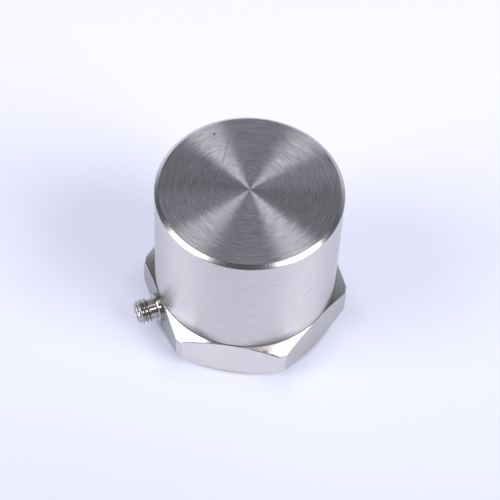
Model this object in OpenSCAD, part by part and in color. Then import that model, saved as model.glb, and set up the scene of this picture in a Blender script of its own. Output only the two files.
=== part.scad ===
// Vibration sensor with a turned housing on a hexagonal base.
// A preloaded stack of piezo rings and a seismic mass sits on the centre post of the base,
// with a round amplifier board on the end of the post and a threaded receptacle in one hex flat.
// Units are millimetres. The origin is the centre of the mounting face, and +Z points to the flat top.
// The receptacle points along -X.

/* [Base] */
// Width of the hexagon across its flats
hex_af = 36; // [33:0.5:60]
// Height of the hexagon
hex_h = 9.6; // [8.5:0.1:14]
// How far the corners of the hexagon are turned off
corner_trim = 0.42; // [0.1:0.02:1]
// Slope of the chamfer on top of the hexagon, in degrees
top_chamfer_deg = 33; // [15:1:45]
// Slope of the chamfer under the hexagon, in degrees
foot_chamfer_deg = 42; // [15:1:50]
// How far the round foot sits inside the flats
foot_inset = 0.2; // [0.1:0.1:1.5]
// Tap drill diameter of the mounting hole
mount_hole_d = 4.2; // [3:0.1:5]
// Depth of the mounting hole, without the drill point
mount_hole_depth = 6.5; // [4:0.5:8]
// Diameter of the countersink at the mouth of the mounting hole
mount_sink_d = 5.1; // [5:0.1:6]
// Height of the spigot that locates the housing
spigot_h = 2; // [1:0.1:3]
// Width of the relief groove at the root of the spigot
relief_w = 0.6; // [0.2:0.1:0.9]
// Depth of that relief groove
relief_depth = 0.3; // [0.1:0.1:0.6]

/* [Housing] */
// Height of the whole sensor
total_h = 36; // [34:0.5:60]
// How far the housing wall sits inside the flats of the hexagon
housing_inset = 0.1; // [0.05:0.05:1]
// Thickness of the housing's side wall
wall = 2; // [1:0.1:3]
// Thickness of the housing's top
top_wall = 3; // [1.5:0.1:4]
// Width of the chamfer round the top rim
rim_chamfer_w = 0.8; // [0.2:0.1:1.5]
// Height of the chamfer round the top rim
rim_chamfer_h = 0.6; // [0.2:0.1:1.5]
// Small chamfer on the outer edge of the housing, along the weld seam
seam_chamfer = 0.15; // [0.05:0.05:0.4]
// Lead-in chamfer on the inner edge of the housing's mouth
mouth_chamfer = 0.3; // [0.1:0.1:0.6]
// Fillet in the corner between the housing's wall and top
inner_fillet = 0.6; // [0.2:0.1:0.7]

/* [Sensing element] */
// Diameter of the centre post
post_d = 8; // [6:0.5:9]
// Diameter of the lapped seat under the piezo rings
seat_d = 21; // [20.5:0.5:24]
// Height of the lapped seat
seat_h = 0.6; // [0.2:0.1:1]
// Outer diameter of the piezo rings
piezo_d = 20; // [16:0.5:20.5]
// Thickness of one piezo ring
piezo_t = 2; // [1:0.1:2.5]
// Thickness of the centre electrode
electrode_t = 0.3; // [0.1:0.05:0.5]
// Width of the electrode's tab
tab_w = 2.4; // [1.5:0.1:3]
// Wall of the insulating sleeve on the post
sleeve_t = 0.5; // [0.3:0.1:0.8]
// Radial room between the seismic mass and the housing
lead_space = 3; // [2.6:0.1:4]
// Step under the mass, so that it presses on the piezo rings alone
mass_step = 0.6; // [0.2:0.1:1]
// Chamfer on the outer edges of the mass
mass_chamfer = 0.5; // [0.1:0.1:1]
// Outer diameter of the disc spring
spring_d = 16; // [13:0.5:18]
// Sheet thickness of the disc spring
spring_t = 0.8; // [0.4:0.1:1]
// Rise of the disc spring's cone
spring_rise = 0.4; // [0.2:0.1:0.6]
// Width of the preload nut across its flats
nut_af = 13; // [12:0.5:16]
// Height of the preload nut
nut_h = 3.2; // [2.5:0.1:4]
// Slope of the chamfers on the preload nut, in degrees
nut_chamfer_deg = 30; // [15:1:35]
// Length of the post beyond the nut
post_end = 0.6; // [0.3:0.1:1]

/* [Circuit board] */
// Thickness of the circuit board
board_t = 1; // [0.6:0.1:1.6]
// Gap between the edge of the board and the housing
board_gap = 0.8; // [0.4:0.1:1]
// Outer diameter of the insulating washer under the board
washer_d = 6.5; // [4.5:0.5:8]
// Thickness of that washer
washer_t = 0.5; // [0.3:0.1:0.8]
// Thread diameter of the board screw
screw_d = 2; // [1.6:0.1:2.5]
// Length of the board screw under its head
screw_l = 5; // [4:0.5:7]
// Diameter of the screw's pan head
screw_head_d = 3.8; // [3.4:0.1:4.5]
// Height of the screw's pan head
screw_head_h = 1.3; // [1:0.1:1.6]
// Width of the screwdriver slot
slot_w = 0.5; // [0.4:0.1:0.8]
// Depth of the screwdriver slot
slot_depth = 0.6; // [0.4:0.1:0.7]
// Length of the amplifier chip's body
chip_l = 4.9; // [4:0.1:5.5]
// Width of the amplifier chip's body
chip_w = 3.9; // [3:0.1:4.2]
// Height of the amplifier chip over the board
chip_h = 1.5; // [1.1:0.1:1.7]
// Length of a chip resistor or a chip capacitor
chip_part_l = 2; // [1.6:0.1:2.4]
// Width of a chip resistor or a chip capacitor
chip_part_w = 1.25; // [0.8:0.05:1.5]
// Height of a chip resistor
resistor_h = 0.5; // [0.3:0.1:0.7]
// Height of a chip capacitor
capacitor_h = 1.1; // [0.6:0.1:1.4]
// Length of the coupling capacitor
coupling_l = 3.5; // [3:0.1:4]
// Width of the coupling capacitor
coupling_w = 2.8; // [2:0.1:3.2]
// Height of the coupling capacitor over the board
coupling_h = 1.7; // [1.2:0.1:1.9]
// Length of the protection diode's body
diode_l = 2.7; // [2.2:0.1:3]
// Width of the protection diode's body
diode_w = 1.6; // [1.2:0.1:1.8]
// Height of the protection diode over the board
diode_h = 1.2; // [0.9:0.1:1.4]
// Distance of the parts on the board from its centre
parts_r = 8; // [7.5:0.1:9]
// Solder between the board and its parts
solder_t = 0.05; // [0.02:0.01:0.1]
// Least room between the parts on the board and the housing's top
head_room = 0.5; // [0.3:0.1:1]

/* [Connector] */
// Distance of the connector's axis below the top of the hexagon
connector_drop = 3.8; // [3.2:0.1:4.5]
// Outside diameter of the connector's thread
thread_d = 5; // [4.6:0.1:6]
// Length of the thread
thread_l = 2.4; // [1.6:0.1:6]
// Chamfer at the tip of the thread
tip_chamfer = 0.5; // [0.1:0.05:0.6]
// Diameter of the thread relief
neck_d = 4.1; // [4:0.1:4.5]
// Length of the thread relief
neck_l = 1.4; // [0.5:0.1:3]
// Diameter of the collar on the hex flat
collar_d = 6; // [5:0.1:6.4]
// Thickness of the collar
collar_t = 1; // [0.5:0.1:2]
// Chamfer on the collar's outer edge
collar_chamfer = 0.2; // [0.05:0.05:0.3]
// Diameter of the connector's shank in the base
shank_d = 4.4; // [4:0.1:5]
// Diameter of the connector's socket
socket_d = 3.2; // [2.8:0.1:3.5]
// Depth of the empty socket in front of the dielectric
socket_depth = 0.3; // [0.2:0.1:2]
// Thickness of the lip behind the glass seal
lip_t = 0.4; // [0.2:0.1:0.8]
// How far that lip reaches inwards
lip_reach = 0.4; // [0.2:0.1:0.6]
// Length of the glass seal
glass_l = 2; // [1:0.1:2.5]
// Diameter of the centre contact
contact_d = 1; // [0.8:0.1:1.2]
// Diameter of the socket in the centre contact
contact_hole_d = 0.5; // [0.3:0.1:0.6]
// Depth of the socket in the centre contact
contact_hole_depth = 2; // [1:0.1:2.5]
// Diameter of the contact's shoulder
shoulder_d = 1.8; // [1.5:0.1:2.2]
// Thickness of the contact's shoulder
shoulder_t = 0.4; // [0.2:0.1:0.6]
// How far the contact sits behind the face of the dielectric
contact_recess = 0.2; // [0.05:0.05:0.5]

/* [Leads] */
// Outside diameter of the insulated leads
lead_d = 1; // [0.8:0.1:1.2]
// Diameter of the bare conductor
conductor_d = 0.5; // [0.3:0.05:0.6]
// Gap between a lead and the seismic mass
lead_gap = 0.4; // [0.2:0.05:0.5]
// Diameter of the passage for the output lead in the base
passage_d = 2.8; // [2.4:0.1:3]
// Length of bare conductor at each end of the insulation
strip_l = 0.8; // [0.5:0.1:1.2]
// Metal round the solder eye of the centre contact
eye_margin = 0.5; // [0.3:0.1:0.7]
// How far the conductor stands out of its eye or hole
conductor_end = 0.3; // [0.1:0.1:0.5]
// Direction of the signal lead, in degrees from +X
signal_deg = 60; // [30:5:75]

/* [Fits] */
// Radial clearance of pieces that slip together
slip_fit = 0.05; // [0.02:0.01:0.08]
// Radial clearance of fused and pressed pieces
tight_fit = 0.02; // [0.01:0.01:0.04]
// Clearance at the end of a blind hole or a sleeve
end_gap = 0.4; // [0.2:0.1:0.8]

/* [Hidden] */
$fn = 96;
// Overshoot of a cut past the face it opens
cut = 1;
// Half angle of a drill point
drill_half_deg = 59;
// Leads on each long side of the amplifier chip
chip_leads = 4;
// Part of a pitch that the amplifier chip is shorter than its row of leads and gaps
chip_row_end = 0.14;
// Shares of a moulded body's height: its draft, its gap to the board and where its leads leave it
draft_share = 0.125;
stand_off_share = 0.1;
lead_exit_share = 0.6;
// Directions of the parts on the board, in degrees from +X
chip_deg = 0;
resistor_deg = [90, 210, 330];
capacitor_deg = [150, 300];
coupling_deg = 120;
diode_deg = 240;

// Radii of the base and the housing
hex_r = hex_af / 2;
corner_r = hex_r / cos(30) - corner_trim;
foot_r = hex_r - foot_inset;
housing_r = hex_r - housing_inset;
bore_r = housing_r - wall;
spigot_r = bore_r - slip_fit;

// Radii of the sensing element
post_r = post_d / 2;
sleeve_r = post_r + slip_fit + sleeve_t;
ring_bore_r = sleeve_r + slip_fit;
mass_r = bore_r - lead_space;
lead_r = mass_r + lead_gap + lead_d / 2;
spring_bore_r = post_r + 2 * slip_fit;

// Heights, from the base up to the upper piezo ring
spigot_z = hex_h + spigot_h;
seat_z = spigot_z + seat_h;
electrode_z = seat_z + piezo_t;
upper_piezo_z = electrode_z + electrode_t;
mass_z = upper_piezo_z + piezo_t;

// Heights, from the housing's top down to the mass
cavity_z = total_h - top_wall;
tallest_part = max(screw_head_h, chip_h, capacitor_h, coupling_h, diode_h);
board_top_z = cavity_z - head_room - solder_t - tallest_part;
board_z = board_top_z - board_t;
post_top_z = board_z - washer_t;
nut_z = post_top_z - post_end - nut_h;
spring_z = nut_z - spring_rise - spring_t;
mass_h = spring_z - mass_z;
board_r = bore_r - board_gap;

// Stations along the connector's axis, as distances from the centre line
connector_z = hex_h - connector_drop;
shank_in = lead_r + passage_d / 2;
glass_in = shank_in + lip_t;
glass_out = glass_in + glass_l;
collar_out = hex_r + collar_t;
neck_out = collar_out + neck_l;
tip_out = neck_out + thread_l;
dielectric_out = tip_out - socket_depth;
contact_out = dielectric_out - contact_recess;
eye_r = conductor_d / 2 + slip_fit;
tail_in = lead_r - eye_r - eye_margin;

// Hexagonal prism on the XY plane with two flats square to the X axis
module hex_prism(across_flats, height) {
    rotate([0, 0, 30]) cylinder(h = height, r = across_flats / 2 / cos(30), $fn = 6);
}

// Ring on the XY plane
module ring(inner_r, outer_r, height) {
    difference() {
        cylinder(h = height, r = outer_r);
        translate([0, 0, -cut]) cylinder(h = height + 2 * cut, r = inner_r);
    }
}

// Places its children on the connector's axis: their +Z points out of the base, along -X
module on_connector_axis() {
    translate([0, 0, connector_z]) rotate([0, -90, 0]) children();
}

// Places its children on top of the board, turned to face its edge
module on_board(angle, radius) {
    rotate([0, 0, angle]) translate([radius, 0, board_top_z + solder_t]) children();
}

// Turned can, closed at the top
module housing() {
    mouth_r = bore_r + mouth_chamfer;
    fillet_r = bore_r - inner_fillet;
    fillet_z = cavity_z - inner_fillet;
    color("lightgray") rotate_extrude() difference() {
        polygon([
            [0, hex_h],
            [housing_r - seam_chamfer, hex_h],
            [housing_r, hex_h + seam_chamfer],
            [housing_r, total_h - rim_chamfer_h],
            [housing_r - rim_chamfer_w, total_h],
            [0, total_h]
        ]);
        translate([0, hex_h - cut]) square([bore_r, fillet_z - hex_h + cut]);
        translate([0, hex_h - cut]) square([fillet_r, cavity_z - hex_h + cut]);
        translate([fillet_r, fillet_z]) intersection() {
            circle(inner_fillet);
            square(inner_fillet);
        }
        polygon([[0, hex_h - cut], [mouth_r + cut, hex_h - cut], [mouth_r, hex_h], [bore_r, hex_h + mouth_chamfer],
            [0, hex_h + mouth_chamfer]]);
    }
}

// Outline of the turned hexagon: round foot, turned corners and both conical chamfers
module turned_hex() {
    foot_rise = (corner_r - foot_r) * tan(foot_chamfer_deg);
    top_drop = (corner_r - housing_r) * tan(top_chamfer_deg);
    intersection() {
        hex_prism(hex_af, hex_h);
        rotate_extrude() polygon([
            [0, 0],
            [foot_r, 0],
            [corner_r, foot_rise],
            [corner_r, hex_h - top_drop],
            [housing_r, hex_h],
            [0, hex_h]
        ]);
    }
}

// Tapped hole in the mounting face, with a countersink and a drill point
module mounting_hole() {
    hole_r = mount_hole_d / 2;
    sink_r = mount_sink_d / 2;
    rotate_extrude() polygon([
        [0, -cut],
        [sink_r + cut, -cut],
        [hole_r, sink_r - hole_r],
        [hole_r, mount_hole_depth],
        [0, mount_hole_depth + hole_r / tan(drill_half_deg)]
    ]);
}

// Drillings for the connector's shank and the output lead
module connector_drillings() {
    on_connector_axis() translate([0, 0, lead_r]) {
        cylinder(h = hex_r - lead_r + cut, r = shank_d / 2 + tight_fit);
    }
    translate([-lead_r, 0, connector_z - passage_d / 2]) {
        cylinder(h = spigot_z - connector_z + passage_d / 2 + cut, r = passage_d / 2);
    }
}

// Base with its spigot, lapped seat and centre post, turned in one piece
module hex_base() {
    screw_hole_depth = screw_l - board_t - washer_t + end_gap;
    post_edge = post_end / 2;
    color("silver") difference() {
        union() {
            turned_hex();
            rotate_extrude() polygon([
                [0, hex_h - cut],
                [spigot_r - relief_depth, hex_h - cut],
                [spigot_r - relief_depth, hex_h + relief_w],
                [spigot_r, hex_h + relief_w + relief_depth],
                [spigot_r, spigot_z],
                [seat_d / 2, spigot_z],
                [seat_d / 2, seat_z],
                [post_r, seat_z],
                [post_r, post_top_z - post_edge],
                [post_r - post_edge, post_top_z],
                [0, post_top_z]
            ]);
        }
        mounting_hole();
        connector_drillings();
        translate([0, 0, post_top_z - screw_hole_depth]) {
            cylinder(h = screw_hole_depth + cut, r = screw_d / 2 + slip_fit);
        }
    }
}

// Threaded receptacle body: shank in the base, collar on the flat, thread relief and thread
module connector_shell() {
    shank_r = shank_d / 2;
    collar_r = collar_d / 2;
    thread_r = thread_d / 2;
    socket_r = socket_d / 2;
    color("gray") on_connector_axis() rotate_extrude() polygon([
        [socket_r - lip_reach, shank_in],
        [shank_r, shank_in],
        [shank_r, hex_r],
        [collar_r, hex_r],
        [collar_r, collar_out - collar_chamfer],
        [collar_r - collar_chamfer, collar_out],
        [neck_d / 2, collar_out],
        [neck_d / 2, neck_out],
        [thread_r, neck_out],
        [thread_r, tip_out - tip_chamfer],
        [thread_r - tip_chamfer, tip_out],
        [socket_r, tip_out],
        [socket_r, glass_in],
        [socket_r - lip_reach, glass_in]
    ]);
}

// Dielectric sleeve between the shell and the contact, bored out behind for the contact's shoulder
module connector_insulator() {
    outer_r = socket_d / 2 - tight_fit;
    inner_r = contact_d / 2 + tight_fit;
    shoulder_r = shoulder_d / 2 + tight_fit;
    color("white") on_connector_axis() rotate_extrude() polygon([
        [shoulder_r, glass_out],
        [outer_r, glass_out],
        [outer_r, dielectric_out],
        [inner_r, dielectric_out],
        [inner_r, glass_out + shoulder_t],
        [shoulder_r, glass_out + shoulder_t]
    ]);
}

// Glass bead fused between the shell and the contact
module glass_seal() {
    color("darkslategray") on_connector_axis() translate([0, 0, glass_in]) {
        ring(contact_d / 2 + tight_fit, socket_d / 2 - tight_fit, glass_l);
    }
}

// Centre contact: socket in front, shoulder on the glass, solder eye on the tail
module connector_contact() {
    color("gold") on_connector_axis() difference() {
        union() {
            translate([0, 0, tail_in]) cylinder(h = contact_out - tail_in, r = contact_d / 2);
            translate([0, 0, glass_out]) cylinder(h = shoulder_t, r = shoulder_d / 2);
        }
        translate([0, 0, contact_out - contact_hole_depth]) {
            cylinder(h = contact_hole_depth + cut, r = contact_hole_d / 2);
        }
        translate([0, 0, lead_r]) rotate([0, 90, 0]) {
            cylinder(h = contact_d + 2 * cut, r = eye_r, center = true);
        }
    }
}

// Insulating tube that centres the rings and the mass on the post
module post_sleeve() {
    color("goldenrod") translate([0, 0, seat_z]) {
        ring(post_r + slip_fit, sleeve_r, spring_z - seat_z - end_gap);
    }
}

// Piezoelectric ring
module piezo_ring(height) {
    color("khaki") translate([0, 0, height]) ring(ring_bore_r, piezo_d / 2, piezo_t);
}

module piezo_ring_lower() {
    piezo_ring(seat_z);
}

module piezo_ring_upper() {
    piezo_ring(upper_piezo_z);
}

// Foil ring with a round-ended tab and an eye for the signal lead
module centre_electrode() {
    color("peru") translate([0, 0, electrode_z]) linear_extrude(electrode_t) difference() {
        union() {
            circle(piezo_d / 2);
            rotate([0, 0, signal_deg]) {
                translate([0, -tab_w / 2]) square([lead_r, tab_w]);
                translate([lead_r, 0]) circle(tab_w / 2);
            }
        }
        circle(ring_bore_r);
        rotate([0, 0, signal_deg]) translate([lead_r, 0]) circle(eye_r);
    }
}

// Heavy ring with a raised seat underneath
module seismic_mass() {
    color("dimgray") translate([0, 0, mass_z]) rotate_extrude() polygon([
        [ring_bore_r, 0],
        [piezo_d / 2, 0],
        [piezo_d / 2, mass_step],
        [mass_r - mass_chamfer, mass_step],
        [mass_r, mass_step + mass_chamfer],
        [mass_r, mass_h - mass_chamfer],
        [mass_r - mass_chamfer, mass_h],
        [ring_bore_r, mass_h]
    ]);
}

// Conical spring washer: its outer edge sits on the mass, its inner edge under the nut
module disc_spring() {
    spring_r = spring_d / 2;
    color("slategray") translate([0, 0, spring_z]) rotate_extrude() polygon([
        [spring_bore_r, spring_rise],
        [spring_r, 0],
        [spring_r, spring_t],
        [spring_bore_r, spring_rise + spring_t]
    ]);
}

// Thin hex nut, chamfered on both faces
module preload_nut() {
    face_r = nut_af / 2;
    corner = face_r / cos(30);
    drop = (corner - face_r) * tan(nut_chamfer_deg);
    color("darkgray") translate([0, 0, nut_z]) difference() {
        intersection() {
            hex_prism(nut_af, nut_h);
            rotate_extrude() polygon([
                [0, 0],
                [face_r, 0],
                [corner, drop],
                [corner, nut_h - drop],
                [face_r, nut_h],
                [0, nut_h]
            ]);
        }
        translate([0, 0, -cut]) cylinder(h = nut_h + 2 * cut, r = post_r + slip_fit);
    }
}

// Insulating washer between the post and the board
module board_washer() {
    color("sienna") translate([0, 0, post_top_z]) ring(screw_d / 2 + slip_fit, washer_d / 2, washer_t);
}

// Round board with a hole for the screw and one for each lead
module circuit_board() {
    color("darkgreen") translate([0, 0, board_z]) linear_extrude(board_t) difference() {
        circle(board_r);
        circle(screw_d / 2 + slip_fit);
        translate([-lead_r, 0]) circle(eye_r);
        rotate([0, 0, signal_deg]) translate([lead_r, 0]) circle(eye_r);
    }
}

// Slotted pan head screw
module board_screw() {
    head_r = screw_head_d / 2;
    head_edge = screw_head_h / 3;
    color("lightsteelblue") translate([0, 0, board_top_z]) difference() {
        union() {
            translate([0, 0, -screw_l]) cylinder(h = screw_l + head_edge, r = screw_d / 2);
            rotate_extrude() polygon([
                [0, 0],
                [head_r, 0],
                [head_r, screw_head_h - head_edge],
                [head_r - head_edge, screw_head_h],
                [0, screw_head_h]
            ]);
        }
        translate([-head_r - cut, -slot_w / 2, screw_head_h - slot_depth]) {
            cube([2 * (head_r + cut), slot_w, slot_depth + cut]);
        }
    }
}

// Moulded chip body that narrows towards its top and its underside
module moulded_body(length, width, height) {
    draft = height * draft_share;
    stand_off = height * stand_off_share;
    middle = (height + stand_off) / 2;
    intersection() {
        rotate([90, 0, 0]) linear_extrude(length, center = true) polygon([
            [-width / 2 + draft, stand_off], [width / 2 - draft, stand_off], [width / 2, middle],
            [width / 2 - draft, height], [-width / 2 + draft, height], [-width / 2, middle]
        ]);
        rotate([90, 0, 90]) linear_extrude(width, center = true) polygon([
            [-length / 2 + draft, stand_off], [length / 2 - draft, stand_off], [length / 2, middle],
            [length / 2 - draft, height], [-length / 2 + draft, height], [-length / 2, middle]
        ]);
    }
}

// Bent lead of a moulded part, from inside its body down to the board
module gull_lead(body_edge, reach, lead_w, lead_z) {
    lead_t = lead_w / 2;
    rotate([90, 0, 0]) linear_extrude(lead_w, center = true) polygon([
        [body_edge - lead_t, lead_z],
        [body_edge + reach / 2, lead_z],
        [body_edge + reach / 2, lead_t],
        [body_edge + reach, lead_t],
        [body_edge + reach, 0],
        [body_edge + reach / 2 - lead_t, 0],
        [body_edge + reach / 2 - lead_t, lead_z - lead_t],
        [body_edge - lead_t, lead_z - lead_t]
    ]);
}

// Charge amplifier with a row of bent leads on each long side
module amplifier_chip() {
    pitch = chip_l / (chip_leads - chip_row_end);
    lead_w = pitch / 3;
    reach = chip_w / 4;
    color("black") on_board(chip_deg, parts_r) {
        moulded_body(chip_l, chip_w, chip_h);
        for (side = [0, 180], i = [0 : chip_leads - 1]) {
            rotate([0, 0, side]) translate([0, (i - (chip_leads - 1) / 2) * pitch, 0]) {
                gull_lead(chip_w / 2, reach, lead_w, chip_h * lead_exit_share);
            }
        }
    }
}

// Ceramic chip part with a raised metal cap on each end
module chip_part(height) {
    cap_l = chip_part_l / 5;
    cap_t = height / 20;
    translate([-chip_part_w / 2, -chip_part_l / 2, cap_t]) {
        cube([chip_part_w, chip_part_l, height - 2 * cap_t]);
    }
    for (end = [-chip_part_l / 2, chip_part_l / 2 - cap_l]) {
        translate([-chip_part_w / 2 - cap_t, end, 0]) cube([chip_part_w + 2 * cap_t, cap_l, height]);
    }
}

module chip_resistors() {
    color("black") for (angle = resistor_deg) on_board(angle, parts_r) chip_part(resistor_h);
}

module chip_capacitors() {
    color("tan") for (angle = capacitor_deg) on_board(angle, parts_r) chip_part(capacitor_h);
}

// Moulded capacitor with a folded terminal on each end
module coupling_capacitor() {
    color("orange") on_board(coupling_deg, parts_r) {
        moulded_body(coupling_l, coupling_w, coupling_h);
        for (side = [90, 270]) rotate([0, 0, side]) {
            gull_lead(coupling_l / 2, coupling_l / 10, coupling_w / 2, coupling_h * lead_exit_share);
        }
    }
}

// Moulded diode with a bent lead on each end
module protection_diode() {
    color("dimgray") on_board(diode_deg, parts_r) {
        moulded_body(diode_l, diode_w, diode_h);
        for (side = [90, 270]) rotate([0, 0, side]) {
            gull_lead(diode_l / 2, diode_l / 5, diode_w / 3, diode_h * lead_exit_share);
        }
    }
}

// Insulated wire that runs straight up, with a bare conductor through an eye below and the board above
module lead(eye_z, eye_t) {
    bottom_z = eye_z - conductor_end;
    top_z = board_top_z + conductor_end;
    jacket_z = eye_z + eye_t + strip_l;
    jacket_top_z = board_z - strip_l;
    translate([0, 0, bottom_z]) cylinder(h = top_z - bottom_z, r = conductor_d / 2);
    translate([0, 0, jacket_z]) cylinder(h = jacket_top_z - jacket_z, r = lead_d / 2);
}

// Wire from the tab of the centre electrode to the board
module signal_lead() {
    color("firebrick") rotate([0, 0, signal_deg]) translate([lead_r, 0, 0]) {
        lead(electrode_z, electrode_t);
    }
}

// Wire from the board down through the base to the eye of the centre contact
module output_lead() {
    color("whitesmoke") translate([-lead_r, 0, 0]) lead(connector_z - contact_d / 2, contact_d);
}

housing();
hex_base();
connector_shell();
connector_insulator();
glass_seal();
connector_contact();
post_sleeve();
piezo_ring_lower();
centre_electrode();
piezo_ring_upper();
seismic_mass();
disc_spring();
preload_nut();
board_washer();
circuit_board();
board_screw();
amplifier_chip();
chip_resistors();
chip_capacitors();
coupling_capacitor();
protection_diode();
signal_lead();
output_lead();
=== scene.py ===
"""Finishes, light and camera of a vibration sensor: a turned steel housing on a hexagonal base."""
import collections
import math

import bmesh
import bpy
from mathutils import Matrix, Vector


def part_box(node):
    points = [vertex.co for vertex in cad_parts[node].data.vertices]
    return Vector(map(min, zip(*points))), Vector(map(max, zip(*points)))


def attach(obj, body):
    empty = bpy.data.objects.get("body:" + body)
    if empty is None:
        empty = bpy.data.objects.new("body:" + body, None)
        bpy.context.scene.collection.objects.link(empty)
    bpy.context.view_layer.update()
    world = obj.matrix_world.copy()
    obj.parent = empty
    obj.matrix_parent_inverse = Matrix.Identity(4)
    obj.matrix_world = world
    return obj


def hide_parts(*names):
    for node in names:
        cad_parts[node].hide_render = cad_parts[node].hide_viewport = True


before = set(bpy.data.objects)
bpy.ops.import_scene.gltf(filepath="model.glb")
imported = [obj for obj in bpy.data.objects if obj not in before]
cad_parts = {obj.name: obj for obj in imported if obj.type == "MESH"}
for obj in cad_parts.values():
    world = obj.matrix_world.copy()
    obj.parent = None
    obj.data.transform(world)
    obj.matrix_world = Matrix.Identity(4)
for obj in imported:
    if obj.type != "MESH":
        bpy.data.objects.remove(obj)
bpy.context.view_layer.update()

MM = 0.001

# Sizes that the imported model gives
_, base_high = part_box("hex_base")
can_low, can_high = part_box("housing")
shell_low, shell_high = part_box("connector_shell")
board_low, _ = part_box("circuit_board")
FLAT_R = base_high.x
CORNER_R = base_high.y
POST_TOP = base_high.z
HEX_H = can_low.z
CAN_R = can_high.x
CAN_TOP = can_high.z
CONNECTOR_Z = (shell_low.z + shell_high.z) / 2
COLLAR_R = (shell_high.z - shell_low.z) / 2
SHANK_IN = -shell_high.x
TIP_OUT = -shell_low.x

# Base
FOOT_R = FLAT_R - 0.2 * MM
TOP_SLOPE = math.tan(math.radians(33))
FOOT_SLOPE = math.tan(math.radians(42))
HOLE_R = 2.1 * MM
HOLE_DEPTH = 6.5 * MM
HOLE_POINT = HOLE_R / math.tan(math.radians(59))
SINK_R = 2.55 * MM
SPIGOT_R = 15.85 * MM
SPIGOT_Z = HEX_H + 2 * MM
RELIEF_W = 0.6 * MM
RELIEF_DEPTH = 0.3 * MM
SEAT_R = 10.5 * MM
SEAT_Z = SPIGOT_Z + 0.6 * MM
POST_R = 4 * MM
POST_EDGE = 0.3 * MM
SCREW_HOLE_R = 1.05 * MM
SCREW_HOLE_DEPTH = 3.9 * MM
LEAD_R = 13.8 * MM
PASSAGE_R = 1.4 * MM

# Rows of the base's chamfers, as shares of the way out to the hexagon, and of the countersink, as radii
CHAMFER_REACHES = (0.12, 0.3, 0.5, 0.7, 0.88)
SINK_ROWS = (2.2 * MM, 2.3 * MM, 2.4 * MM, 2.5 * MM)

# Housing
RIM_W = 0.8 * MM
RIM_H = 0.6 * MM
SEAM_CHAMFER = 0.15 * MM
BORE_R = CAN_R - 2 * MM
MOUTH_CHAMFER = 0.3 * MM
CAVITY_Z = CAN_TOP - 3 * MM
INNER_FILLET = 0.6 * MM

# Connector, as distances from the centre line of the sensor
COLLAR_OUT = FLAT_R + 1 * MM
COLLAR_CHAMFER = 0.2 * MM
NECK_OUT = COLLAR_OUT + 1.4 * MM
NECK_R = 2.05 * MM
THREAD_R = 2.5 * MM
TIP_CHAMFER = 0.5 * MM
SHANK_R = 2.2 * MM
SHANK_FIT = 0.02 * MM
SOCKET_R = 1.6 * MM
LIP_T = 0.4 * MM
LIP_REACH = 0.4 * MM

# Threads of the connector and the mounting hole
PITCH = 0.8 * MM
THREAD_DEPTH = 0.6134 * PITCH
ROWS_PER_PITCH = 14
THREAD_TURN = math.radians(60)

# Circuit board: the ring that its parts sit on, and half sizes of the parts along and across that ring
PARTS_R = 8 * MM
CHIP_ACROSS = 1.95 * MM
CHIP_LEAD_PITCH = 1.27 * MM
CAP_START = 0.6 * MM
COUPLING_ALONG = 1.75 * MM
DIODE_ALONG = 1.35 * MM
SCREW_PAD_R = 2.6 * MM
LEAD_PAD_R = 0.8 * MM

# Directions of the parts on the board, and the spacing of those that are there more than once
CHIP_AT = 0.0
RESISTORS_AT = math.radians(90)
RESISTOR_SPACING = math.radians(120)
CAPACITORS_AT = math.radians(150)
CAPACITOR_SPACING = math.radians(150)
COUPLING_AT = math.radians(120)
DIODE_AT = math.radians(240)

# Leads: their directions, and the heights between which they have a jacket
SIGNAL_LEAD_AT = math.radians(60)
OUTPUT_LEAD_AT = math.pi
JACKET_TOP = board_low.z - 0.8 * MM
SIGNAL_JACKET_LOW = 15.3 * MM
OUTPUT_JACKET_LOW = CONNECTOR_Z + 1.3 * MM

# Side towards which the flats' colour is painted lighter, as painted light
PAINTED_LIGHT_AZIMUTH = math.radians(248)
PAINTED_LIGHT_SIDE = (math.cos(PAINTED_LIGHT_AZIMUTH), math.sin(PAINTED_LIGHT_AZIMUTH), 0)

# Weld between housing and base: how many tacks it was held by, the direction of the first, and its colours
TACKS = 7
FIRST_TACK = math.radians(-91.6)
HEAT_TINT = (0.27, 0.255, 0.245, 1)
SEAM_SHADE = (0.28, 0.27, 0.26, 1)
SEAM_ROUGHNESS = 0.8

# Edges: the radii of a fine broken edge and of the rim's, and the angle from which an edge stays sharp
FINE_EDGE = 0.06 * MM
RIM_EDGE = 0.2 * MM
SHARP_EDGE = math.radians(30)

# Camera, fitted to the rim, the seam and the hexagon's edges in the photograph
CAMERA_AZIMUTH = math.radians(-23.64)
CAMERA_ELEVATION = math.radians(54.59)
CAMERA_ROLL = math.radians(3.32)
CAMERA_DISTANCE = 366.6 * MM
CAMERA_SIDE = 0.67 * MM
CAMERA_LIFT = 9.61 * MM
CAMERA_LENS = 130.25
CAMERA_SENSOR = 36

# Level directions in the photograph: away from the camera, and to its right
AWAY = (-math.sin(CAMERA_AZIMUTH), math.cos(CAMERA_AZIMUTH), 0)
ASIDE = (math.cos(CAMERA_AZIMUTH), math.sin(CAMERA_AZIMUTH), 0)

# Stage
FLOOR_HALF = 1.5
FLOOR_GAP = 0.02 * MM
SOFTBOX_COLOUR = (0.98, 0.96, 1)

Row = collections.namedtuple("Row", "radius height reach slope shift thread", defaults=(0, 0, 0, 0))
Mark = collections.namedtuple("Mark", "start end width tint roughness")
Finish = collections.namedtuple("Finish", "dark light roughness metallic grain")


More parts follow.
